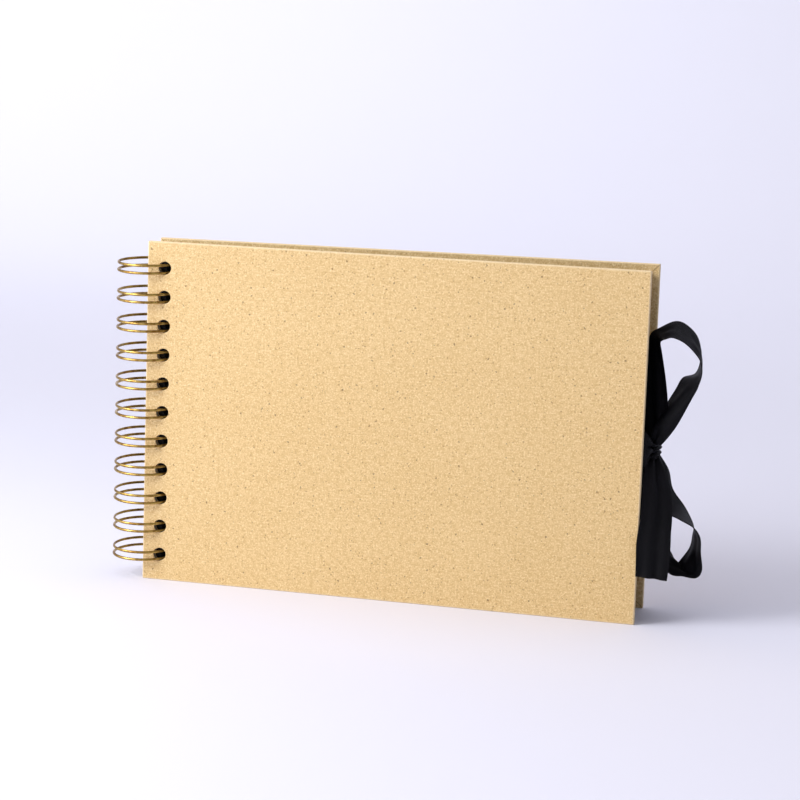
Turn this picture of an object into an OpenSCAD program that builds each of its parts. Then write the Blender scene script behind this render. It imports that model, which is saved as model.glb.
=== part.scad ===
// Wire-bound scrapbook album: two kraft-covered boards, black card leaves,
// one comb of twin wire loops, and a pair of ribbons tied in a bow at the fore edge.
// It stands upright on the lower edges of its covers, spine to the left, front to -Y.

/* [Covers] */
// Length of a cover, from its spine edge to its fore edge
cover_w = 220; // [180:1:260]
// Height of a cover
cover_h = 150; // [145:1:200]
// Thickness of a finished cover
cover_t = 2.6; // [2.2:0.1:3.4]
// Thickness of the kraft paper that wraps a board
kraft_t = 0.25; // [0.15:0.05:0.35]
// Thickness of the paper that lines the inside of a cover
lining_t = 0.15; // [0.1:0.05:0.3]
// Width of the kraft paper that is turned in over each edge
turn_in = 15; // [10:1:20]
// How far the lining stays back from the cover's edges
lining_margin = 3; // [2:0.5:5]

/* [Leaves] */
// Number of leaves
leaves = 20; // [4:2:20]
// Thickness of a leaf
leaf_t = 0.35; // [0.25:0.05:0.4]
// Length of a leaf, from its punched edge to its fore edge
leaf_w = 213; // [170:1:213]
// Height of a leaf
leaf_h = 146; // [143:1:148]

/* [Binding] */
// Distance from one loop to the next
hole_pitch = 12.7; // [12.7:0.1:13]
// Number of loops, and of holes in every sheet
loops = 11; // [3:2:11]
// Diameter of a punched hole
hole_d = 5.6; // [5.4:0.1:6]
// Distance from a sheet's punched edge to the middle of its holes
hole_inset = 7.86; // [7.8:0.01:8]
// Radius of a loop, to the middle of its wire
loop_r = 13.65; // [13.5:0.05:13.8]
// Diameter of the wire
wire_d = 1.2; // [1:0.1:1.3]
// Distance between the two wires of one loop
twin_gap = 3.3; // [3:0.1:3.4]
// Where the loops close, in degrees from +X towards the back
seam_at = 74; // [70:1:90]

/* [Stance] */
// Distance over both covers, measured beside the loops
block_t = 19; // [18.5:0.5:20]
// Angle by which the covers stand apart
spread = 3.6; // [3:0.1:4]
// How far a cover's spine edge stands from the middle of the loops
cover_setback = 2.6; // [2.4:0.1:2.8]
// How far the middle of a leaf's holes stands from the middle of the loops
leaf_hole_at = 12.8; // [12.7:0.05:12.9]

/* [Ribbon] */
// Width of the ribbon
ribbon_w = 15; // [12:0.5:15]
// Thickness of the ribbon
ribbon_t = 0.4; // [0.3:0.05:0.4]
// Length of ribbon glued under each lining
ribbon_glued = 27; // [20:1:35]

/* [Hidden] */
$fn = 48;
board_t = cover_t - 2 * kraft_t - lining_t;
pocket_d = ribbon_t + 0.04;      // depth of the seat pressed in for the glued ribbon
pocket_h = ribbon_w + 0.4;
loop_step = 18;                  // degrees left open where a loop's two ends meet
bend_r = 1.2;                    // radius of the wire's bends between loops
hair = 0.02;                     // parting between a loop's wires and their bends
cut = 1;                         // how far a cutter runs past a face

half_turn = spread / 2;
wire_r = wire_d / 2;
loop_out = loop_r + wire_r;      // radius over a loop
// the covers' outer fore corners, measured from the middle of the loops
fore_x = (cover_setback + cover_w) * cos(half_turn) - block_t / 2 * sin(half_turn);
bow_reach = 26.3;                // how far the bow stands out past the covers
ring_x = (fore_x + bow_reach - loop_out) / 2;
mid_z = cover_h / 2;

// half of the space between the covers beside the loops, which the leaves share evenly
gap_in = block_t / 2 - cover_t;

// Bow and tails: each station is the ribbon's near edge and its far edge, in mm
// from the covers' outer fore edge, from the album's middle plane and from mid height.
upper_loop = [
    [[5.5, -6.5, 1.2], [1.5, -2, 1]],
    [[8.5, -6, 12.5], [-2, 0, 8]],
    [[8, -6, 21], [-3.5, 2, 17]],
    [[6.5, -5.5, 30.5], [-3.5, 3.5, 25.5]],
    [[4, -5.5, 40], [-3, 5.5, 35]],
    [[3, -7, 45], [-1, 7, 44.5]],
    [[6, -8, 46], [2, 6, 48.5]],
    [[9.5, -9, 47], [8.5, 5, 52]],
    [[14.5, -9, 45], [14, 5, 50.5]],
    [[19, -9, 41], [18.5, 5, 45.5]],
    [[21.5, -9.5, 37.5], [20, 5.5, 37.5]],
    [[22, -9, 33], [18, 5, 30.5]],
    [[21, -9, 27.5], [12, 3, 28]],
    [[18, -9.5, 21.5], [8.5, 1, 21.5]],
    [[13, -9.5, 12], [9.5, -1, 10]],
    [[6.5, -6.5, 1.5], [5, -2.5, 1.2]]
];
lower_loop = [
    [[3.5, -6, -4.2], [5.4, -1, -4]],
    [[4.5, -7, -14], [9, 5, -11.5]],
    [[8.5, -7, -26], [11, 7, -20]],
    [[16, -7.5, -30], [16.5, 7.5, -27.5]],
    [[22, -7.5, -33], [20.5, 7.5, -35]],
    [[25, -7, -37.5], [20.5, 7, -39.5]],
    [[25.5, -6.5, -44], [19.5, 7, -45]],
    [[26, -5, -50.5], [15.5, 5, -50.5]],
    [[24, -4.5, -55], [14, 6.5, -53]],
    [[18, -3, -55.5], [11.5, 9, -49.5]],
    [[9.5, 0, -52.5], [7.5, 10, -41]],
    [[1.5, -1, -37], [5, 11, -28.5]],
    [[0.5, -3, -15], [3.5, 8, -14.5]],
    [[1.6, -4.5, -4.4], [3, -0.5, -4.6]]
];
front_tail = [
    [[2, -7.5, -4], [5.2, -4, -4.2]],
    [[0.8, -12.5, -9], [8.5, -7, -10.5]],
    [[0.7, -15, -18], [11, -6.5, -18.5]],
    [[0.7, -16, -31], [12.2, -8.5, -30]],
    [[-0.3, -17.8, -36], [12.6, -11.8, -35.5]],
    [[-0.8, -18.4, -40], [13, -13.5, -41]],
    [[-0.6, -18.4, -53.5], [13.2, -13.8, -55]]
];
back_tail = [
    [[2.4, -6.2, -4.3], [5, -3, -4.6]],
    [[1.4, -10.8, -9.5], [8.2, -5.6, -11]],
    [[1, -13.4, -18], [10.6, -5, -18.5]],
    [[1, -14.6, -31], [11.8, -7.1, -30]],
    [[0.9, -15.6, -36], [12, -10.2, -35.5]],
    [[0.8, -16.2, -40], [12.4, -11.8, -41]],
    [[0.8, -16.2, -49], [12.2, -12.1, -50.5]]
];
// Knot: its middle, and half its size each way
knot_at = [3.2, -4, -1.4];
knot_half = [2.5, 4.6, 3.4];
// Ribbon between a cover and the knot: x past the fore edge, depth from the
// cover's outer face, and the ribbon's top and bottom from mid height
front_lead = [
    [-ribbon_glued, cover_t - lining_t - ribbon_t / 2, ribbon_w / 2, -ribbon_w / 2],
    [-0.5, cover_t - lining_t - ribbon_t / 2, ribbon_w / 2, -ribbon_w / 2],
    [1, 3.2, 6.5, -7],
    [2.3, 6, 4, -4.4],
    [2.7, 8.4, 1.6, -3]
];
back_lead = [
    [-ribbon_glued, cover_t - lining_t - ribbon_t / 2, ribbon_w / 2, -ribbon_w / 2],
    [-0.5, cover_t - lining_t - ribbon_t / 2, ribbon_w / 2, -ribbon_w / 2],
    [0.8, 4, 6.5, -7],
    [1.6, 9, 3.5, -5],
    [2, 14.8, 0.8, -3.4]
];

function two_digits(n) = n < 10 ? str("0", n) : str(n);
function leaf_name(n) = str("leaf_", two_digits(n));
// shares run from -1 at the front leaf's side to 1 at the back leaf's side
function leaf_share(n) = 2 * n / (leaves + 1) - 1;

kraft_colour = "#d8b47a";
board_colour = "#a39782";
lining_colour = "#c8a264";
leaf_colour = "#1d1c20";
wire_colour = "#8c6a2c";
ribbon_colour = "#131217";

function unit(v) = v / norm(v);
function middle(s) = (s[0] + s[1]) / 2;
function heading(st, i) = middle(st[min(i + 1, len(st) - 1)]) - middle(st[max(i - 1, 0)]);
function face_normal(st, i) = unit(cross(st[i][1] - st[i][0], heading(st, i)));
// the four corners of the ribbon's section at one station
function section(st, i, t) = let (n = face_normal(st, i) * t / 2)
    [st[i][0] - n, st[i][1] - n, st[i][1] + n, st[i][0] + n];
// a lead's station as two edge points in its cover's own frame
function lead_edges(s) = [
    [cover_w + s[0], s[1], mid_z + s[2]],
    [cover_w + s[0], s[1], mid_z + s[3]]
];

// A flat ribbon swept through stations of its two edges.
module ribbon(st) {
    last = len(st) - 1;
    points = [for (i = [0:last]) each section(st, i, ribbon_t)];
    // the two wide faces are split along the same diagonal, so the ribbon stays one thickness
    sides = [
        for (i = [0:last - 1], k = [0:3])
            let (a = 4 * i + k, b = 4 * i + (k + 1) % 4)
            each k == 2 ? [[a, a + 4, b + 4], [a, b + 4, b]] : [[a, a + 4, b], [b, a + 4, b + 4]]
    ];
    e = 4 * last;
    ends = [[0, 1, 2], [0, 2, 3], [e, e + 2, e + 1], [e, e + 3, e + 2]];
    polyhedron(points = points, faces = concat(sides, ends), convexity = 8);
}

// Places the bow's own frame: the covers' outer fore edge, the middle plane, mid height.
module at_bow() {
    translate([fore_x - ring_x, 0, mid_z]) children();
}

// Places a cover's own frame: x from its spine edge, y inwards from its outer face.
module as_front() {
    translate([-ring_x, 0, 0]) rotate([0, 0, -half_turn])
        translate([cover_setback, -block_t / 2, 0]) children();
}

module as_back() {
    translate([-ring_x, 0, 0]) rotate([0, 0, half_turn])
        translate([cover_setback, block_t / 2, 0]) mirror([0, 1, 0]) children();
}

// One row of punched holes, through a sheet whose near face is at y = 0.
module punched_holes(x, z, depth) {
    for (i = [0:loops - 1])
        translate([x, -cut, z + (i - (loops - 1) / 2) * hole_pitch])
            rotate([-90, 0, 0]) cylinder(d = hole_d, h = depth + 2 * cut);
}

// The seat pressed into a cover's inner side for the glued end of its ribbon.
module ribbon_seat() {
    translate([cover_w - ribbon_glued - 0.2, cover_t - lining_t - pocket_d, mid_z - pocket_h / 2])
        cube([ribbon_glued + 0.2 + cut, pocket_d + cut, pocket_h]);
}

module board() {
    color(board_colour) difference() {
        union() {
            translate([kraft_t, kraft_t, kraft_t])
                cube([cover_w - 2 * kraft_t, board_t, cover_h - 2 * kraft_t]);
            // inside the turned-in paper the board stands level with it
            translate([turn_in, kraft_t, turn_in])
                cube([cover_w - 2 * turn_in, board_t + kraft_t, cover_h - 2 * turn_in]);
        }
        punched_holes(hole_inset, mid_z, cover_t);
        ribbon_seat();
    }
}

module wrap() {
    color(kraft_colour) difference() {
        cube([cover_w, board_t + 2 * kraft_t, cover_h]);
        translate([kraft_t, kraft_t, kraft_t])
            cube([cover_w - 2 * kraft_t, board_t, cover_h - 2 * kraft_t]);
        translate([turn_in, kraft_t, turn_in])
            cube([cover_w - 2 * turn_in, cover_t, cover_h - 2 * turn_in]);
        punched_holes(hole_inset, mid_z, cover_t);
        ribbon_seat();
    }
}

module lining() {
    color(lining_colour) difference() {
        translate([lining_margin, cover_t - lining_t, lining_margin])
            cube([cover_w - 2 * lining_margin, lining_t, cover_h - 2 * lining_margin]);
        punched_holes(hole_inset, mid_z, cover_t);
    }
}

// The ribbon from under the lining to the knot.
module lead(st) {
    color(ribbon_colour) ribbon([for (s = st) lead_edges(s)]);
}

// A leaf, turned and set off from the loops' middle by its share of the spread.
module leaf(n) {
    color(leaf_colour) translate([-ring_x, 0, 0]) rotate([0, 0, half_turn * leaf_share(n)])
        translate([leaf_hole_at - hole_inset, gap_in * leaf_share(n) - leaf_t / 2, mid_z - leaf_h / 2])
            difference() {
                cube([leaf_w, leaf_t, leaf_h]);
                punched_holes(hole_inset, leaf_h / 2, leaf_t);
            }
}

// A quarter or half bend of wire about the X axis, from angle a on.
module wire_bend(r, a, sweep) {
    rotate([0, -90, 0]) rotate([0, 0, a]) rotate_extrude(angle = sweep, $fn = 32)
        translate([r, 0]) circle(r = wire_r, $fn = 24);
}

// One wire of a loop, open by loop_step where its ends meet.
module loop_wire() {
    rotate([0, 0, seam_at + loop_step / 2]) rotate_extrude(angle = 360 - loop_step, $fn = 96)
        translate([loop_r, 0]) circle(r = wire_r, $fn = 24);
}

// The whole comb: every loop is a wire that goes round, turns back at its tip
// and comes round again, and a straight run at the roots leads to the next loop.
module binding_wire() {
    run = hole_pitch - twin_gap - 2 * bend_r;
    color(wire_colour) translate([-ring_x, 0, mid_z - (loops - 1) / 2 * hole_pitch])
        for (i = [0:loops - 1]) translate([0, 0, i * hole_pitch]) {
            for (s = [-1, 1]) translate([0, 0, s * twin_gap / 2]) loop_wire();
            rotate([0, 0, seam_at - loop_step / 2]) translate([loop_r, hair, 0])
                wire_bend(twin_gap / 2, 0, 180);
            if (i < loops - 1)
                rotate([0, 0, seam_at + loop_step / 2]) translate([loop_r, -hair, 0]) {
                    translate([0, 0, twin_gap / 2 + bend_r]) wire_bend(bend_r, 180, 90);
                    translate([0, -bend_r, twin_gap / 2 + bend_r])
                        cylinder(r = wire_r, h = run, $fn = 24);
                    translate([0, 0, twin_gap / 2 + bend_r + run]) wire_bend(bend_r, 270, 90);
                }
        }
}

module bow_knot() {
    color(ribbon_colour) at_bow() translate(knot_at) scale(knot_half) sphere(r = 1, $fn = 24);
}

module bow_part(st) {
    color(ribbon_colour) at_bow() ribbon(st);
}

as_back() board();  // back_board
as_back() wrap();  // back_wrap
as_back() lining();  // back_lining
as_back() lead(back_lead);  // back_ribbon
binding_wire();
for (n = [1:leaves]) leaf(n);
as_front() board();  // front_board
as_front() wrap();  // front_wrap
as_front() lining();  // front_lining
as_front() lead(front_lead);  // front_ribbon
bow_knot();
bow_part(upper_loop);  // bow_upper_loop
bow_part(lower_loop);  // bow_lower_loop
bow_part(front_tail);  // bow_front_tail
bow_part(back_tail);  // bow_back_tail
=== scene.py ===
import math

import bpy
from mathutils import Matrix, Vector


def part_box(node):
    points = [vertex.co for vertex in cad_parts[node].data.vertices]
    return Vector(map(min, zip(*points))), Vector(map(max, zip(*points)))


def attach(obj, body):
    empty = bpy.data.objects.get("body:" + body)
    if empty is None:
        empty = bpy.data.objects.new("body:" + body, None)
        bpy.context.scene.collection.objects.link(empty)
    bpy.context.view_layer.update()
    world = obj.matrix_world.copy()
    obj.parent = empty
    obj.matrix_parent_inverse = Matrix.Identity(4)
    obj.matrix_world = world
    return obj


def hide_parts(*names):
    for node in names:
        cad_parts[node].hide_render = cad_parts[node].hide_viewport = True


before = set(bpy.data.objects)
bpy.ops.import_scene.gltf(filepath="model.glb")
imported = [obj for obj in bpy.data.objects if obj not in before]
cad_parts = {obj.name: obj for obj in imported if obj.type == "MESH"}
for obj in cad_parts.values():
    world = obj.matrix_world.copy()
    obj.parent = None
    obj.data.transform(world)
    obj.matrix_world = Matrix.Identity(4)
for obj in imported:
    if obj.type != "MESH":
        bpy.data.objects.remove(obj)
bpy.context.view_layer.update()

MM = 0.001

# ---- The album's own measures, in mm ----
COVER_W, COVER_H = 220.0, 150.0
COVER_T = 2.6
KRAFT_T = 0.25
LINING_T = 0.15
TURN_IN = 15.0
WRAP_T = COVER_T - LINING_T
BOARD_T = WRAP_T - 2 * KRAFT_T
EDGE_ROUND = 0.5
SETBACK = 2.6
HALF_BLOCK = 9.5
HALF_TURN = math.radians(1.8)
HOLE_R = 2.8
HOLE_INSET = 7.86
HOLE_PITCH = 12.7
LOOPS = 11
LOOP_R = 13.65
WIRE_R = 0.6
TWIN_GAP = 3.3
RIBBON_W, RIBBON_T = 15.0, 0.4
RIBBON_GLUED = 27.0
SEAT_PLAY = 0.2
SEAT_SPARE = 0.04
LEAF_TRIM = 1.5
MID_Z = COVER_H / 2
FIRST_HOLE_Z = MID_Z - (LOOPS - 1) / 2 * HOLE_PITCH

wire_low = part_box("binding_wire")[0]
RING_X = wire_low.x / MM + LOOP_R + WIRE_R
# the covers' outer fore edge, from which the bow is measured
BOW_X = RING_X + (SETBACK + COVER_W) * math.cos(HALF_TURN) - HALF_BLOCK * math.sin(HALF_TURN)


def cover_place(turn, flip):
    """Where a cover's own frame stands: x from its spine edge, y inwards from its outer face."""
    sheet_side = Matrix.Scale(-1, 4, (0, 1, 0)) if flip else Matrix.Identity(4)
    out = HALF_BLOCK if flip else -HALF_BLOCK
    return (
        Matrix.Translation((RING_X, 0, 0))
        @ Matrix.Rotation(turn, 4, "Z")
        @ Matrix.Translation((SETBACK, out, 0))
        @ sheet_side
    )


FRONT_PLACE = cover_place(-HALF_TURN, False)
BACK_PLACE = cover_place(HALF_TURN, True)
BOW_PLACE = Matrix.Translation((BOW_X, 0, MID_Z))


# ---- Modelling helpers ----
def clear_selection():
    bpy.ops.object.select_all(action="DESELECT")


def only(piece):
    clear_selection()
    piece.select_set(True)
    bpy.context.view_layer.objects.active = piece


def settled(piece):
    """Puts the piece's place, turn and size into its mesh."""
    only(piece)
    bpy.ops.object.transform_apply(location=True, rotation=True, scale=True)
    return piece


def block(name, low, high):
    """A plain block in mm, the start of a piece or a cutter."""
    clear_selection()
    middle = [(a + b) / 2 for a, b in zip(low, high)]
    bpy.ops.mesh.primitive_cube_add(size=1, location=middle)
    piece = bpy.context.object
    piece.name = piece.data.name = name
    piece.scale = [b - a for a, b in zip(low, high)]
    return settled(piece)


def copied(piece, name):
    twin = piece.copy()
    twin.data = piece.data.copy()
    twin.name = twin.data.name = name
    bpy.context.scene.collection.objects.link(twin)
    return twin


def carve(piece, cutter):
    """Cuts the cutter out of the piece and throws the cutter away."""
    only(piece)
    cut = piece.modifiers.new("carve", "BOOLEAN")
    cut.operation = "DIFFERENCE"
    cut.solver = "EXACT"
    cut.object = cutter
    bpy.ops.object.modifier_apply(modifier=cut.name)
    bpy.data.objects.remove(cutter)


def apply_modifier(piece, kind, **settings):
    only(piece)
    made = piece.modifiers.new(kind.lower(), kind)
    for key, value in settings.items():
        setattr(made, key, value)
    bpy.ops.object.modifier_apply(modifier=made.name)


def smooth(piece, degrees):
    only(piece)
    bpy.ops.object.shade_smooth_by_angle(angle=math.radians(degrees))


def placed(piece, place):
    """Moves a piece made in mm in its own frame to its place on the album."""
    piece.data.transform(Matrix.Scale(MM, 4) @ place)
    if place.determinant() < 0:
        piece.data.flip_normals()
    piece.data.update()
    return piece


def finish_with(piece, material):
    piece.data.materials.clear()
    piece.data.materials.append(material)


# ---- Materials ----
class Finish:
    """A material's node tree, with short ways to add and join nodes."""

    def __init__(self, name):
        self.material = bpy.data.materials.new(name)
        self.material.use_nodes = True
        self.nodes = self.material.node_tree.nodes
        self.links = self.material.node_tree.links
        self.shader = self.nodes["Principled BSDF"]

    def node(self, kind, fields=None, **inputs):
        made = self.nodes.new(kind)
        for key, value in (fields or {}).items():
            setattr(made, key, value)
        for key, value in inputs.items():
            self.put(made.inputs[key.replace("_", " ")], value)
        return made

    def put(self, socket, value):
        if isinstance(value, bpy.types.NodeSocket):
            self.links.new(value, socket)
        else:
            socket.default_value = value

    def math(self, operation, a, b=0.0):
        made = self.nodes.new("ShaderNodeMath")
        made.operation = operation
        self.put(made.inputs[0], a)
        self.put(made.inputs[1], b)
        return made.outputs[0]

    def band(self, value, low, high, to_low=0.0, to_high=1.0):
        made = self.nodes.new("ShaderNodeMapRange")
        made.interpolation_type = "SMOOTHSTEP"
        for key, number in (("From Min", low), ("From Max", high), ("To Min", to_low), ("To Max", to_high)):
            made.inputs[key].default_value = number
        self.put(made.inputs["Value"], value)
        return made.outputs["Result"]

    def mix(self, share, a, b):
        made = self.nodes.new("ShaderNodeMix")
        made.data_type = "RGBA"
        self.put(made.inputs["Factor"], share)
        self.put(made.inputs["A"], a)
        self.put(made.inputs["B"], b)
        return made.outputs["Result"]

    def noise(self, vector, scale, detail=2.0, roughness=0.5):
        made = self.node("ShaderNodeTexNoise", None, Scale=scale, Detail=detail, Roughness=roughness)
        self.links.new(vector, made.inputs["Vector"])
        return made.outputs["Fac"]

    def bump(self, height, distance, strength, under=None):
        made = self.node("ShaderNodeBump", None, Strength=strength, Distance=distance)
        self.links.new(height, made.inputs["Height"])
        if under is not None:
            self.links.new(under, made.inputs["Normal"])
        return made.outputs["Normal"]

    def place(self, location=(0, 0, 0), rotation=(0, 0, 0), scale=(1, 1, 1)):
        where = self.nodes.new("ShaderNodeTexCoord")
        mapping = self.node("ShaderNodeMapping", None, Location=location, Rotation=rotation, Scale=scale)
        self.links.new(where.outputs["Object"], mapping.inputs["Vector"])
        return mapping.outputs["Vector"]


def rgb(red, green, blue):
    """A colour given as it looks on a screen, 0 to 255."""
    def linear(c):
        c = c / 255
        return c / 12.92 if c <= 0.04045 else ((c + 0.055) / 1.055) ** 2.4
    return (linear(red), linear(green), linear(blue), 1)


# shares and lengths in metres, as the paper's nodes take them
BARE_CELLS = 0.62
STIR = 0.0012
INNER_SIDE = 0.0021
MITRE_LINE = (0.00030, 0.00012)
# width of the pale edge rim, partly rubbed wear and partly a painted highlight
PALE_RIM = (0.0009, 0.0001)


def kraft_paper(name, place, tone, fleck_share=1.0, mitred=False):
    """Unbleached kraft paper: cloudy tan, pale fibres, brown and dark flecks, edges painted pale for rubbed
    wear and a painted highlight.
    """
    f = Finish(name)
    turn = place.to_euler().z if place.determinant() > 0 else HALF_TURN
    shift = (Matrix.Rotation(-turn, 4, "Z") @ place.translation) * -MM
    own = f.place(location=shift, rotation=(0, 0, -turn))
    cloud = f.noise(own, 22, 2, 0.5)
    mottle = f.noise(own, 480, 2, 0.6)
    grain = f.noise(own, 1350, 2, 0.8)
    base = f.mix(f.band(cloud, 0.25, 0.75), tone["base"], tone["pale"])
    base = f.mix(f.band(mottle, 0.42, 0.62, 0.0, 0.4), base, tone["deep"])
    base = f.mix(f.band(grain, 0.51, 0.66, 0.0, 0.9), base, tone["fibre"])
    base = f.mix(f.band(grain, 0.47, 0.33, 0.0, 0.8), base, tone["deep"])
    # short fibres lying two ways
    fibres = None
    for angle, seed in ((0.5, 0.31), (-0.9, 0.77)):
        lying = f.place(location=(seed, seed, seed), rotation=(0, angle, 0), scale=(260, 900, 2300))
        streak = f.band(f.noise(lying, 1.0, 1, 0.5), 0.63, 0.7)
        fibres = streak if fibres is None else f.math("MAXIMUM", fibres, streak)
    base = f.mix(f.math("MULTIPLY", fibres, 0.3), base, tone["fibre"])
    for scale, size, share, colour in (
        (330, 0.17, 0.7 * fleck_share, tone["fleck"]),
        (700, 0.30, 0.6 * fleck_share, tone["brown"]),
    ):
        cells = f.node("ShaderNodeTexVoronoi", {"feature": "F1"}, Scale=scale, Randomness=1.0)
        stirred = f.node("ShaderNodeVectorMath", {"operation": "ADD"})
        f.links.new(own, stirred.inputs[0])
        wander = f.node("ShaderNodeTexNoise", None, Scale=900.0, Detail=1.0)
        f.links.new(own, wander.inputs["Vector"])
        small = f.node("ShaderNodeVectorMath", {"operation": "SCALE"})
        f.links.new(wander.outputs["Color"], small.inputs[0])
        small.inputs["Scale"].default_value = STIR
        f.links.new(small.outputs[0], stirred.inputs[1])
        f.links.new(stirred.outputs[0], cells.inputs["Vector"])
        chance = f.node("ShaderNodeSeparateColor")
        f.links.new(cells.outputs["Color"], chance.inputs["Color"])
        picked = f.math("GREATER_THAN", chance.outputs["Red"], BARE_CELLS)
        near = f.band(cells.outputs["Distance"], size, size * 0.4, 0.0, 1.0)
        spot = f.math("MULTIPLY", f.math("MULTIPLY", near, picked), share)
        base = f.mix(spot, base, colour)
    # the folded edges are painted pale: partly rubbed wear, partly a painted highlight where light catches
    # the edges
    sides = f.node("ShaderNodeSeparateXYZ")
    f.links.new(own, sides.inputs["Vector"])
    edge = f.math("MINIMUM", sides.outputs["X"], f.math("SUBTRACT", COVER_W * MM, sides.outputs["X"]))
    rim = f.math("MINIMUM", sides.outputs["Z"], f.math("SUBTRACT", COVER_H * MM, sides.outputs["Z"]))
    if mitred:
        # the turned-in margins meet in a mitre at each corner, on the inner side
        mitre = f.band(f.math("ABSOLUTE", f.math("SUBTRACT", edge, rim)), *MITRE_LINE)
        inner = f.math("GREATER_THAN", f.math("ABSOLUTE", sides.outputs["Y"]), INNER_SIDE)
        mitre = f.math("MULTIPLY", mitre, inner)
        base = f.mix(f.math("MULTIPLY", mitre, 0.6), base, tone["fleck"])
    edge = f.math("MINIMUM", edge, rim)
    rim_distance = f.math("ADD", edge, f.math("MULTIPLY", f.math("SUBTRACT", grain, 0.5), PALE_RIM[0]))
    rubbed_and_highlit = f.band(rim_distance, *PALE_RIM, 0.0, 0.5)
    base = f.mix(rubbed_and_highlit, base, tone["rubbed_and_highlit"])
    f.put(f.shader.inputs["Base Color"], base)
    f.put(f.shader.inputs["Roughness"], f.band(mottle, 0.3, 0.7, 0.66, 0.82))
    f.shader.inputs["Specular IOR Level"].default_value = 0.32
    under = f.bump(f.noise(own, 95, 2, 0.5), 0.0009, 0.10)
    fine = f.bump(f.math("ADD", grain, f.math("MULTIPLY", fibres, 0.3)), 0.00025, 0.26, under)
    f.put(f.shader.inputs["Normal"], fine)
    return f.material


KRAFT = {
    "deep": rgb(193, 157, 103),
    "base": rgb(214, 182, 128),
    "pale": rgb(218, 187, 134),
    "fibre": rgb(237, 213, 164),
    "fleck": rgb(98, 70, 38),
    "brown": rgb(150, 112, 66),
    # the pale rim colour: rubbed wear and a painted edge highlight
    "rubbed_and_highlit": rgb(240, 222, 186),
}
LINING = {
    "deep": rgb(186, 148, 98),
    "base": rgb(197, 160, 110),
    "pale": rgb(206, 171, 121),
    "fibre": rgb(218, 187, 140),
    "fleck": rgb(112, 82, 48),
    "brown": rgb(156, 118, 74),
    # the pale rim colour: rubbed wear and a painted edge highlight
    "rubbed_and_highlit": rgb(220, 194, 152),
}


def grey_board():
    """Pressed grey board, seen in the walls of the punched holes."""
    f = Finish("grey_board")
    own = f.place(scale=(500, 500, 2400))
    layers = f.noise(own, 1.0, 3, 0.6)
    pulp = f.noise(f.place(), 1400, 3, 0.7)
    base = f.mix(f.band(layers, 0.35, 0.65), rgb(140, 131, 116), rgb(168, 159, 142))
    base = f.mix(f.band(pulp, 0.55, 0.75, 0.0, 0.6), base, rgb(104, 96, 84))
    f.put(f.shader.inputs["Base Color"], base)
    f.put(f.shader.inputs["Roughness"], f.band(pulp, 0.3, 0.7, 0.82, 0.95))
    f.shader.inputs["Specular IOR Level"].default_value = 0.2
    f.put(f.shader.inputs["Normal"], f.bump(pulp, 0.0003, 0.5))
    return f.material


def black_card():
    """Black leaves: dyed through, faint grey fibres."""
    f = Finish("black_card")
    own = f.place()
    tooth = f.noise(own, 1600, 3, 0.65)
    cloud = f.noise(own, 60, 2, 0.5)
    base = f.mix(f.band(cloud, 0.3, 0.7), rgb(22, 21, 24), rgb(30, 29, 32))
    lying = f.place(rotation=(0, 0.7, 0), scale=(300, 900, 2200))
    fibres = f.band(f.noise(lying, 1.0, 1, 0.5), 0.66, 0.74)
    base = f.mix(f.math("MULTIPLY", fibres, 0.4), base, rgb(66, 64, 68))
    f.put(f.shader.inputs["Base Color"], base)
    f.put(f.shader.inputs["Roughness"], f.band(tooth, 0.3, 0.7, 0.72, 0.9))
    f.shader.inputs["Specular IOR Level"].default_value = 0.28
    f.put(f.shader.inputs["Normal"], f.bump(tooth, 0.0002, 0.35))
    return f.material


def antique_bronze():
    """Plated wire: warm gold where it is rubbed, brown where it has darkened."""
    f = Finish("antique_bronze")
    own = f.place()
    patch = f.noise(own, 420, 3, 0.6)
    drawn = f.noise(f.place(scale=(1, 1, 5)), 2600, 2, 0.5)
    base = f.mix(f.band(patch, 0.35, 0.7), rgb(184, 156, 88), rgb(134, 98, 46))
    base = f.mix(f.band(drawn, 0.6, 0.8, 0.0, 0.5), base, rgb(74, 48, 24))
    f.put(f.shader.inputs["Base Color"], base)
    f.shader.inputs["Metallic"].default_value = 1.0
    f.put(f.shader.inputs["Roughness"], f.band(patch, 0.3, 0.7, 0.27, 0.38))
    f.put(f.shader.inputs["Normal"], f.bump(drawn, 0.00006, 0.25))
    return f.material


TWILL_PITCH = 0.62
WEFT_PITCH = 0.33


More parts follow.
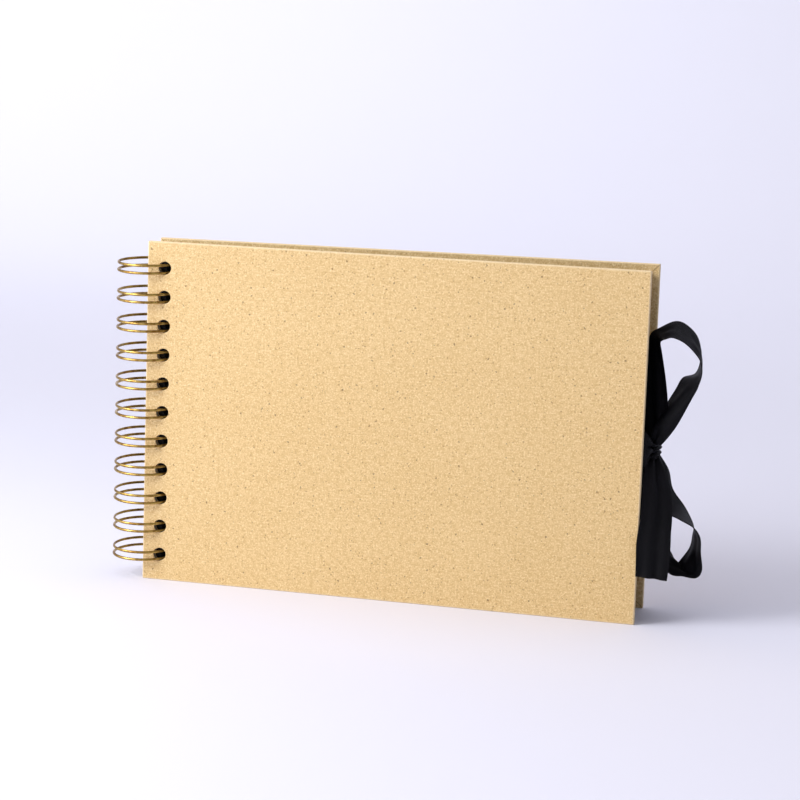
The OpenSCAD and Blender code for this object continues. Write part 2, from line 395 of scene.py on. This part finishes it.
def black_ribbon():
    """Black ribbon with a fine slanting twill and a firm woven edge, painted paler along that edge as a
    painted sheen.
    """
    f = Finish("black_ribbon")
    across = f.nodes.new("ShaderNodeUVMap")
    across.uv_map = "weave"
    parts = f.node("ShaderNodeSeparateXYZ")
    f.links.new(across.outputs["UV"], parts.inputs["Vector"])
    u, v = parts.outputs["X"], parts.outputs["Y"]
    slant = f.math("SINE", f.math("MULTIPLY", f.math("ADD", u, v), 2 * math.pi / TWILL_PITCH))
    weft = f.math("SINE", f.math("MULTIPLY", v, 2 * math.pi / WEFT_PITCH))
    twill = f.math("ADD", f.math("MULTIPLY", slant, 0.7), f.math("MULTIPLY", weft, 0.3))
    from_edge = f.math("MINIMUM", u, f.math("SUBTRACT", RIBBON_W, u))
    selvedge_and_sheen = f.band(from_edge, 0.9, 0.5)
    height = f.math("ADD", twill, f.math("MULTIPLY", selvedge_and_sheen, 1.6))
    own = f.place()
    dye = f.noise(own, 130, 3, 0.6)
    base = f.mix(f.band(dye, 0.3, 0.7), rgb(6, 6, 8), rgb(10, 9, 12))
    base = f.mix(f.band(twill, 0.2, 0.9, 0.0, 0.5), base, rgb(27, 27, 40))
    # painted sheen: the ribbon's edges are painted a paler grey where a thicker selvedge would catch the
    # light
    base = f.mix(f.math("MULTIPLY", selvedge_and_sheen, 0.4), base, rgb(18, 15, 20))
    f.put(f.shader.inputs["Base Color"], base)
    f.put(f.shader.inputs["Roughness"], f.band(dye, 0.3, 0.7, 0.5, 0.62))
    f.shader.inputs["Specular IOR Level"].default_value = 0.12
    f.put(f.shader.inputs["Normal"], f.bump(height, 0.00008, 0.6))
    return f.material


kraft_front = kraft_paper("kraft_front", FRONT_PLACE, KRAFT, mitred=True)
kraft_back = kraft_paper("kraft_back", BACK_PLACE, KRAFT, mitred=True)
lining_front = kraft_paper("lining_front", FRONT_PLACE, LINING, 0.7)
lining_back = kraft_paper("lining_back", BACK_PLACE, LINING, 0.7)
board = grey_board()
card = black_card()
bronze = antique_bronze()
ribbon_black = black_ribbon()


# ---- Covers ----
# the pressed-in lip round a punched hole: depth, and how much wider the hole is there
LIP = ((0.0, 0.30), (0.06, 0.16), (0.16, 0.06), (0.34, 0.0))
PUNCH_SIDES = 48
CUT_PAST = 1.0


def punch():
    """One punch with the lip that it presses in, then all eleven of them."""
    clear_selection()
    bpy.ops.mesh.primitive_circle_add(
        vertices=PUNCH_SIDES,
        radius=HOLE_R + LIP[0][1],
        fill_type="NGON",
        location=(HOLE_INSET, -CUT_PAST, FIRST_HOLE_Z),
        rotation=(math.pi / 2, 0, 0),
    )
    first = settled(bpy.context.object)
    first.name = "punch"
    centre = (HOLE_INSET, 0, FIRST_HOLE_Z)
    bpy.ops.object.mode_set(mode="EDIT")
    bpy.ops.mesh.select_all(action="SELECT")
    depth, radius = -CUT_PAST, HOLE_R + LIP[0][1]
    for to, extra in LIP + ((COVER_T + CUT_PAST, 0.0),):
        bpy.ops.mesh.extrude_region_move(TRANSFORM_OT_translate={"value": (0, to - depth, 0)})
        grow = (HOLE_R + extra) / radius
        bpy.ops.transform.resize(value=(grow, 1, grow), center_override=centre)
        depth, radius = to, HOLE_R + extra
    bpy.ops.mesh.select_all(action="SELECT")
    bpy.ops.mesh.normals_make_consistent(inside=False)
    bpy.ops.object.mode_set(mode="OBJECT")
    row = [first]
    for i in range(1, LOOPS):
        other = copied(first, "punch_next")
        other.data.transform(Matrix.Translation((0, 0, i * HOLE_PITCH)))
        row.append(other)
    clear_selection()
    for piece in row:
        piece.select_set(True)
    bpy.context.view_layer.objects.active = first
    bpy.ops.object.join()
    return first


def wrap_shell():
    """The kraft paper folded round a board: outer face, edges and turned-in margins."""
    shell = block("front_kraft_wrap", (0, 0, 0), (COVER_W, WRAP_T, COVER_H))
    bpy.ops.object.mode_set(mode="EDIT")
    bpy.ops.mesh.select_all(action="SELECT")
    bpy.ops.mesh.bevel(offset=EDGE_ROUND, segments=4, affect="EDGES")
    bpy.ops.object.mode_set(mode="OBJECT")
    k = KRAFT_T
    carve(shell, block("board_space", (k, k, k), (COVER_W - k, k + BOARD_T, COVER_H - k)))
    t = TURN_IN
    # the margin cutter starts anywhere within the board's space
    margin_from = k + 0.5
    carve(shell, block("margin", (t, margin_from, t), (COVER_W - t, COVER_T + CUT_PAST, COVER_H - t)))
    seat_x = COVER_W - RIBBON_GLUED - SEAT_PLAY
    seat_y = WRAP_T - RIBBON_T - SEAT_SPARE
    half = RIBBON_W / 2 + SEAT_PLAY
    seat = block("seat", (seat_x, seat_y, MID_Z - half), (COVER_W + CUT_PAST, COVER_T, MID_Z + half))
    carve(shell, seat)
    carve(shell, punch())
    return shell


front_wrap = wrap_shell()
back_wrap = copied(front_wrap, "back_kraft_wrap")
for piece, place, node, body, material in (
    (front_wrap, FRONT_PLACE, "front_wrap", "front_cover", kraft_front),
    (back_wrap, BACK_PLACE, "back_wrap", "back_cover", kraft_back),
):
    placed(piece, place)
    smooth(piece, 32)
    apply_modifier(piece, "WEIGHTED_NORMAL", mode="FACE_AREA", weight=100, keep_sharp=True)
    finish_with(piece, material)
    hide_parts(node)
    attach(piece, body)


def trimmed_leaf(name, thing):
    """A leaf cut shorter at the top than its CAD node, so that none shows above the covers."""
    leaf = copied(thing, name.replace("leaf", "card_leaf"))
    leaf.parent = None
    leaf.data.transform(thing.matrix_world)
    leaf.matrix_world = Matrix.Identity(4)
    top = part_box(name)[1].z
    for corner in leaf.data.vertices:
        if corner.co.z > top - MM:
            corner.co.z -= LEAF_TRIM * MM
    leaf.data.update()
    finish_with(leaf, card)
    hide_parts(name)
    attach(leaf, name)


for name, thing in list(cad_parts.items()):
    if name.endswith("_board"):
        finish_with(thing, board)
    elif name == "front_lining":
        finish_with(thing, lining_front)
    elif name == "back_lining":
        finish_with(thing, lining_back)
    elif name.startswith("leaf_"):
        trimmed_leaf(name, thing)


# ---- Binding wire ----
SEAM_AT = 74.0
LOOP_STEP = 18.0
BEND_R = 1.2
WIRE_SIDES = 12
ROUND_STEPS, TIP_STEPS, BEND_STEPS = 80, 10, 5


def on_loop(degrees, height):
    a = math.radians(degrees)
    return Vector((RING_X + LOOP_R * math.cos(a), LOOP_R * math.sin(a), height))


def spun(degrees, centre, axis, steps):
    # spin turns the other way when there is no window
    bpy.ops.mesh.spin(
        steps=steps, angle=math.radians(-degrees), center=centre, axis=axis, dupli=False
    )


def tidy_tube():
    """Merges doubles in the mesh that is being edited, and leaves all of it selected."""
    bpy.ops.mesh.select_all(action="SELECT")
    bpy.ops.mesh.remove_doubles(threshold=0.001)


def wire_loop(name, low, to_next):
    """The wire round one loop, back over its tip and round again, then on to the next root."""
    start, end = SEAM_AT + LOOP_STEP / 2, SEAM_AT - LOOP_STEP / 2 + 360
    half = TWIN_GAP / 2
    clear_selection()
    bpy.ops.mesh.primitive_circle_add(
        vertices=WIRE_SIDES, radius=WIRE_R, location=on_loop(start, low - half),
        rotation=(math.pi / 2, 0, math.radians(start)),
    )
    loop = settled(bpy.context.object)
    loop.name = loop.data.name = name
    tip_out = on_loop(end, 0) - Vector((RING_X, 0, 0))
    root_out = on_loop(start, 0) - Vector((RING_X, 0, 0))
    bpy.ops.object.mode_set(mode="EDIT")
    bpy.ops.mesh.select_all(action="SELECT")
    spun(end - start, (RING_X, 0, low), (0, 0, 1), ROUND_STEPS)
    spun(180, on_loop(end, low), tip_out, TIP_STEPS)
    spun(start - end, (RING_X, 0, low), (0, 0, 1), ROUND_STEPS)
    if to_next:
        spun(-90, on_loop(start, low + half + BEND_R), root_out, BEND_STEPS)
        run = HOLE_PITCH - TWIN_GAP - 2 * BEND_R
        bpy.ops.mesh.extrude_region_move(TRANSFORM_OT_translate={"value": (0, 0, run)})
        spun(-90, on_loop(start, low + HOLE_PITCH - half - BEND_R), root_out, BEND_STEPS)
    tidy_tube()
    bpy.ops.object.mode_set(mode="OBJECT")
    return loop


def wire_comb():
    """The whole comb is one wire: ten loops, each led on to the next, and a last one."""
    comb = wire_loop("twin_loop_wire", FIRST_HOLE_Z, True)
    apply_modifier(
        comb, "ARRAY", count=LOOPS - 1, use_relative_offset=False, use_constant_offset=True,
        constant_offset_displace=(0, 0, HOLE_PITCH),
    )
    last = wire_loop("last_loop", FIRST_HOLE_Z + (LOOPS - 1) * HOLE_PITCH, False)
    only(comb)
    last.select_set(True)
    bpy.ops.object.join()
    bpy.ops.object.mode_set(mode="EDIT")
    tidy_tube()
    bpy.ops.mesh.fill_holes(sides=0)
    bpy.ops.mesh.select_all(action="SELECT")
    bpy.ops.mesh.normals_make_consistent(inside=False)
    bpy.ops.object.mode_set(mode="OBJECT")
    return comb


comb = wire_comb()
# the comb hangs by its own weight: all of it drops, its front and left more and its rear less
DROP = -0.25
LIFT_ALONG_X, LIFT_ALONG_Y = 0.12 / LOOP_R, 0.5 / LOOP_R
comb.data.transform(
    Matrix(
        (
            (1, 0, 0, 0),
            (0, 1, 0, 0),
            (LIFT_ALONG_X, LIFT_ALONG_Y, 1, DROP - LIFT_ALONG_X * RING_X),
            (0, 0, 0, 1),
        )
    )
)
placed(comb, Matrix.Identity(4))
smooth(comb, 60)
finish_with(comb, bronze)
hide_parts("binding_wire")
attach(comb, "binding_wire")


# ---- Ribbons and bow ----
# Each station is the ribbon's near edge and its far edge, in mm from the covers'
# outer fore edge, from the album's middle plane and from mid height. A third point, where
# there is one, is where the ribbon is creased between its edges.
UPPER_LOOP = (
    ((5.5, -6.5, 1.2), (1.5, -2, 1)),
    ((8.5, -6, 12.5), (-2, 0, 8)),
    ((8, -6, 21), (-3.5, 2, 17)),
    ((6.5, -5.5, 30.5), (-3.5, 3.5, 25.5)),
    ((4.6, -5.5, 40), (-4, 5.5, 36)),
    ((4, -7, 44.6), (-1.8, 7, 45.6)),
    ((6.5, -8, 46.2), (2, 6, 48.8)),
    ((9.5, -9, 47), (8.8, 5, 52.2)),
    ((14.5, -9, 45), (14, 5, 50.5)),
    ((19, -9, 41), (18.5, 5, 45.5)),
    ((21.5, -9.5, 37.5), (20, 5.5, 37.5), (21.5, -2.5, 38)),
    ((22.2, -9.5, 33), (18.3, 5, 30.8), (21.2, -5, 32.5)),
    ((21.1, -9.5, 27.4), (13.2, 3.2, 28.7), (19.2, -6.5, 28.2)),
    ((18.5, -9.5, 21.8), (10.6, 2, 23.8), (15.2, -7.8, 22.2)),
    ((13.4, -9.5, 11), (6.3, 0.5, 15.5), (8.6, -8.8, 13.6)),
    ((9.6, -8.4, 5), (4.2, -0.5, 8), (4.4, -8.6, 8.2)),
    ((6.5, -6.5, 1), (3.2, -2.5, 1.6), (3, -6.5, 2.2)),
)
LOWER_LOOP = (
    ((3.5, -6, -4.2), (5.4, -1, -4)),
    ((4.5, -7, -14), (9, 5, -11.5)),
    ((8.5, -7, -26), (11, 7, -20)),
    ((16, -7.5, -30), (16.5, 7.5, -27.5)),
    ((22, -7.5, -33), (20.5, 7.5, -35)),
    ((25, -7, -37.5), (20.5, 7, -39.5)),
    ((25.5, -6.5, -44), (19.5, 7, -45)),
    ((26.3, -5, -51.5), (15.5, 5, -51)),
    ((24, -4.2, -55.3), (14.4, 6.5, -52.6)),
    ((18.3, -1.5, -55.7), (12, 9, -49)),
    ((11, 0.5, -54.6), (8.5, 10, -43)),
    ((0.5, 0, -40), (5, 11, -29)),
    ((-2.8, -2, -16), (3.5, 8, -14.5)),
    ((1.6, -4.5, -4.4), (3, -0.5, -4.6)),
)
FRONT_TAIL = (
    ((2, -7.5, -4), (5.6, -4, -4.2)),
    ((0.8, -12.5, -9), (8.9, -7, -9.8)),
    ((0.7, -14.5, -18), (11.6, -6.5, -18.5)),
    ((0.6, -16, -29), (12.9, -8.8, -29)),
    ((-0.1, -17.6, -35), (13.1, -11.8, -35.5)),
    ((-0.4, -18.4, -40), (13.4, -13.5, -41)),
    ((-0.2, -18.4, -47), (13.2, -13.8, -48.5)),
    ((-0.1, -18.2, -53.6), (12.6, -13.8, -55.4)),
)
BACK_TAIL = (
    ((2.4, -6.2, -4.3), (5, -3, -4.6)),
    ((1.4, -10.8, -9.5), (8.2, -5.6, -11)),
    ((1, -13.4, -18), (10.6, -5, -18.5)),
    ((1, -14.6, -31), (11.8, -7.1, -30)),
    ((0.9, -15.6, -36), (12, -10.2, -35.5)),
    ((0.8, -16.2, -40), (12.4, -11.8, -41)),
    ((0.8, -16.2, -49), (12.2, -12.1, -50.5)),
)
KNOT_AT = Vector((3.2, -4, -1.4))
KNOT_HALF = Vector((2.5, 4.6, 3.4))
KNOT_FROM, KNOT_STEP, KNOT_STATIONS = -150, 25, 15
KNOT_SWELL, KNOT_TILT = 0.05, 0.5
# x past the fore edge, depth from the cover's outer face, ribbon's top and bottom
GLUED_DEPTH = WRAP_T - RIBBON_T / 2
FRONT_LEAD = (
    (-RIBBON_GLUED, GLUED_DEPTH, 7.5, -7.5),
    (-RIBBON_GLUED / 2, GLUED_DEPTH, 7.5, -7.5),
    (-0.5, GLUED_DEPTH, 7.5, -7.5),
    (1, 3.2, 6.5, -7),
    (2.3, 6, 4, -4.4),
    (2.7, 8.4, 1.6, -3),
)
BACK_LEAD = (
    (-RIBBON_GLUED, GLUED_DEPTH, 7.5, -7.5),
    (-RIBBON_GLUED / 2, GLUED_DEPTH, 7.5, -7.5),
    (-0.5, GLUED_DEPTH, 7.5, -7.5),
    (0.8, 4, 6.5, -7),
    (1.6, 9, 3.5, -5),
    (2, 14.8, 0.8, -3.4),
)


def eased(points, i, t):
    """A point on the smooth curve through the points, t of the way from point i to the next."""
    last = len(points) - 1
    a, b, c, d = (points[min(max(j, 0), last)] for j in (i - 1, i, i + 1, i + 2))
    return (
        b * 2 + (c - a) * t + (a * 2 - b * 5 + c * 4 - d) * t * t + (b * 3 - a - c * 3 + d) * t ** 3
    ) / 2


def ribbon_piece(name, stations, place, node, body, steps=6, columns=14, folds=2.0, crown=0.25):
    """A woven ribbon laid through its stations: gathered into pleats where it is narrow."""
    near = [Vector(s[0]) for s in stations]
    far = [Vector(s[1]) for s in stations]
    crease = [Vector(s[2]) if len(s) > 2 else (n + f) / 2 for s, n, f in zip(stations, near, far)]
    rows = []
    for i in range(len(stations) - 1):
        for k in range(steps):
            rows.append([eased(line, i, k / steps) for line in (near, far, crease)])
    rows.append([near[-1], far[-1], crease[-1]])
    mids = [c for n, f, c in rows]
    points, weave, run = [], [], 0.0
    for r, (n, f, fold) in enumerate(rows):
        if r:
            run += (mids[r] - mids[r - 1]).length
        heading = mids[min(r + 1, len(rows) - 1)] - mids[max(r - 1, 0)]
        across = f - n
        pull = (fold - (n + f) / 2) * 4
        width = (fold - n).length + (f - fold).length
        up = across.cross(heading).normalized()
        spare = max((RIBBON_W / width) ** 2 - 1, 0.0)
        pleat = min(width / (2 * math.pi * folds) * math.sqrt(2 * spare), 0.9)
        bow_out = crown * min(1.0, width / RIBBON_W)
        for c in range(columns + 1):
            s = c / columns
            lift = pleat * math.sin(2 * math.pi * folds * s) * math.sin(math.pi * s) ** 0.5
            lift += bow_out * (1 - (2 * s - 1) ** 2)
            points.append(n + across * s + pull * s * (1 - s) + up * lift)
            weave.append((s * RIBBON_W, run))
    wide = columns + 1
    faces = [
        (r * wide + c, r * wide + c + 1, (r + 1) * wide + c + 1, (r + 1) * wide + c)
        for r in range(len(rows) - 1)
        for c in range(columns)
    ]
    mesh = bpy.data.meshes.new(name)
    mesh.from_pydata(points, [], faces)
    layer = mesh.uv_layers.new(name="weave")
    for loop in mesh.loops:
        layer.data[loop.index].uv = weave[loop.vertex_index]
    piece = bpy.data.objects.new(name, mesh)
    bpy.context.scene.collection.objects.link(piece)
    apply_modifier(piece, "SOLIDIFY", thickness=RIBBON_T, offset=0.0, use_even_offset=True)
    only(piece)
    bpy.ops.object.mode_set(mode="EDIT")
    bpy.ops.mesh.select_all(action="SELECT")
    bpy.ops.mesh.normals_make_consistent(inside=False)
    bpy.ops.object.mode_set(mode="OBJECT")
    placed(piece, place)
    smooth(piece, 50)
    finish_with(piece, ribbon_black)
    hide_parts(node)
    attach(piece, body)


def lead_stations(lead):
    return [
        ((COVER_W + x, depth, MID_Z + top), (COVER_W + x, depth, MID_Z + bottom))
        for x, depth, top, bottom in lead
    ]


def knot_stations():
    """The turn of ribbon that goes once round the waist of the bow."""
    made = []
    for i in range(KNOT_STATIONS):
        a = math.radians(KNOT_FROM + i * KNOT_STEP)
        swell = 1 + KNOT_SWELL * math.sin(3 * a)
        x = KNOT_AT.x + KNOT_HALF.x * swell * math.cos(a)
        y = KNOT_AT.y + KNOT_HALF.y * swell * math.sin(a)
        tilt = KNOT_TILT * math.sin(a + 0.6)
        low = KNOT_AT.z - KNOT_HALF.z + tilt
        high = KNOT_AT.z + KNOT_HALF.z + tilt
        made.append(((x, y, low), (x, y, high)))
    return made


ribbon_piece("upper_bow_loop", UPPER_LOOP, BOW_PLACE, "bow_upper_loop", "front_cover")
ribbon_piece("lower_bow_loop", LOWER_LOOP, BOW_PLACE, "bow_lower_loop", "front_cover")
ribbon_piece("front_ribbon_tail", FRONT_TAIL, BOW_PLACE, "bow_front_tail", "front_cover")
ribbon_piece("back_ribbon_tail", BACK_TAIL, BOW_PLACE, "bow_back_tail", "front_cover")
ribbon_piece(
    "ribbon_knot", knot_stations(), BOW_PLACE, "bow_knot", "front_cover",
    steps=4, columns=24, folds=3.0, crown=0.5,
)
ribbon_piece(
    "front_cover_ribbon", lead_stations(FRONT_LEAD), FRONT_PLACE, "front_ribbon", "front_cover",
    crown=0.0,
)
ribbon_piece(
    "back_cover_ribbon", lead_stations(BACK_LEAD), BACK_PLACE, "back_ribbon", "back_cover",
    crown=0.0,
)


# ---- Floor, light and camera ----
# all in metres
FLOOR_WIDE, FLOOR_DEEP = 80, 40
CURVE_FROM, CURVE_R = 1.1, 1.6
CURVE_DEGREES = 82


def sweep():
    """A pale floor that curves up into a backdrop behind."""
    clear_selection()
    bpy.ops.mesh.primitive_plane_add(size=1, location=(0, 0, 0))
    floor = bpy.context.object
    floor.name = "studio_sweep"
    floor.scale = (FLOOR_WIDE, FLOOR_DEEP, 1)
    floor.location = (0, CURVE_FROM - FLOOR_DEEP / 2, 0)
    settled(floor)
    for edge in floor.data.edges:
        edge.select = all(floor.data.vertices[v].co.y > 1 for v in edge.vertices)
    bpy.ops.object.mode_set(mode="EDIT")
    bpy.ops.mesh.select_mode(type="EDGE")
    spun(CURVE_DEGREES, (0, CURVE_FROM, CURVE_R), (1, 0, 0), 24)
    bpy.ops.mesh.extrude_region_move(TRANSFORM_OT_translate={"value": (0, 0.6, 5)})
    bpy.ops.object.mode_set(mode="OBJECT")
    f = Finish("studio_paper")
    cloud = f.noise(f.place(), 1.6, 2, 0.5)
    f.put(f.shader.inputs["Base Color"], f.mix(cloud, rgb(225, 225, 238), rgb(228, 228, 241)))
    f.shader.inputs["Roughness"].default_value = 0.8
    f.shader.inputs["Specular IOR Level"].default_value = 0.15
    finish_with(floor, f.material)
    smooth(floor, 60)


sweep()


def soft_lamp(name, at, towards, size, power, colour):
    lamp = bpy.data.lights.new(name, "AREA")
    lamp.shape = "RECTANGLE"
    lamp.size, lamp.size_y = size
    lamp.energy = power
    lamp.color = colour
    thing = bpy.data.objects.new(name, lamp)
    bpy.context.scene.collection.objects.link(thing)
    thing.location = at
    aim = Vector(towards) - Vector(at)
    thing.rotation_euler = aim.to_track_quat("-Z", "Y").to_euler()


soft_lamp("key", (-0.72, -0.5, 0.48), (0.0, 0.0, 0.06), (0.55, 0.5), 9.6, (0.99, 0.99, 1.0))
soft_lamp("backdrop", (-1.2, 0.9, 1.5), (-0.78, 2.48, 1.04), (1.2, 0.8), 22, (0.98, 0.98, 1.0))


def studio_room():
    """The room round the set: pale to the left and above, dim behind the camera."""
    world = bpy.data.worlds.new("studio")
    bpy.context.scene.world = world
    world.use_nodes = True
    nodes, links = world.node_tree.nodes, world.node_tree.links
    where = nodes.new("ShaderNodeTexCoord")
    lean = nodes.new("ShaderNodeVectorMath")
    lean.operation = "DOT_PRODUCT"
    lean.inputs[1].default_value = (-0.62, 0.45, 0.64)
    links.new(where.outputs["Generated"], lean.inputs[0])
    reach = nodes.new("ShaderNodeMapRange")
    reach.interpolation_type = "SMOOTHSTEP"
    for key, number in (("From Min", -0.8), ("From Max", 0.9), ("To Min", 0.12), ("To Max", 1.07)):
        reach.inputs[key].default_value = number
    links.new(lean.outputs["Value"], reach.inputs["Value"])
    light = nodes["Background"]
    light.inputs["Color"].default_value = (0.99, 0.98, 1.0, 1)
    links.new(reach.outputs["Result"], light.inputs["Strength"])


studio_room()

CAMERA_AT = Vector((218.97, -1008.21, 253.78)) * MM
YAW, PITCH, ROLL = math.radians(12.402), math.radians(9.215), math.radians(1.997)
lens = bpy.data.cameras.new("camera")
lens.sensor_width = 36
lens.lens = 108.96
lens.clip_start, lens.clip_end = 0.05, 50
camera = bpy.data.objects.new("camera", lens)
bpy.context.scene.collection.objects.link(camera)
forward = Vector((-math.sin(YAW) * math.cos(PITCH), math.cos(YAW) * math.cos(PITCH), -math.sin(PITCH)))
level = Vector((math.cos(YAW), math.sin(YAW), 0))
above = level.cross(forward)
right = level * math.cos(ROLL) + above * math.sin(ROLL)
up = above * math.cos(ROLL) - level * math.sin(ROLL)
camera.matrix_world = Matrix(
    (
        (right.x, up.x, -forward.x, CAMERA_AT.x),
        (right.y, up.y, -forward.y, CAMERA_AT.y),
        (right.z, up.z, -forward.z, CAMERA_AT.z),
        (0, 0, 0, 1),
    )
)
bpy.context.scene.camera = camera
bpy.context.scene.view_settings.view_transform = "Standard"
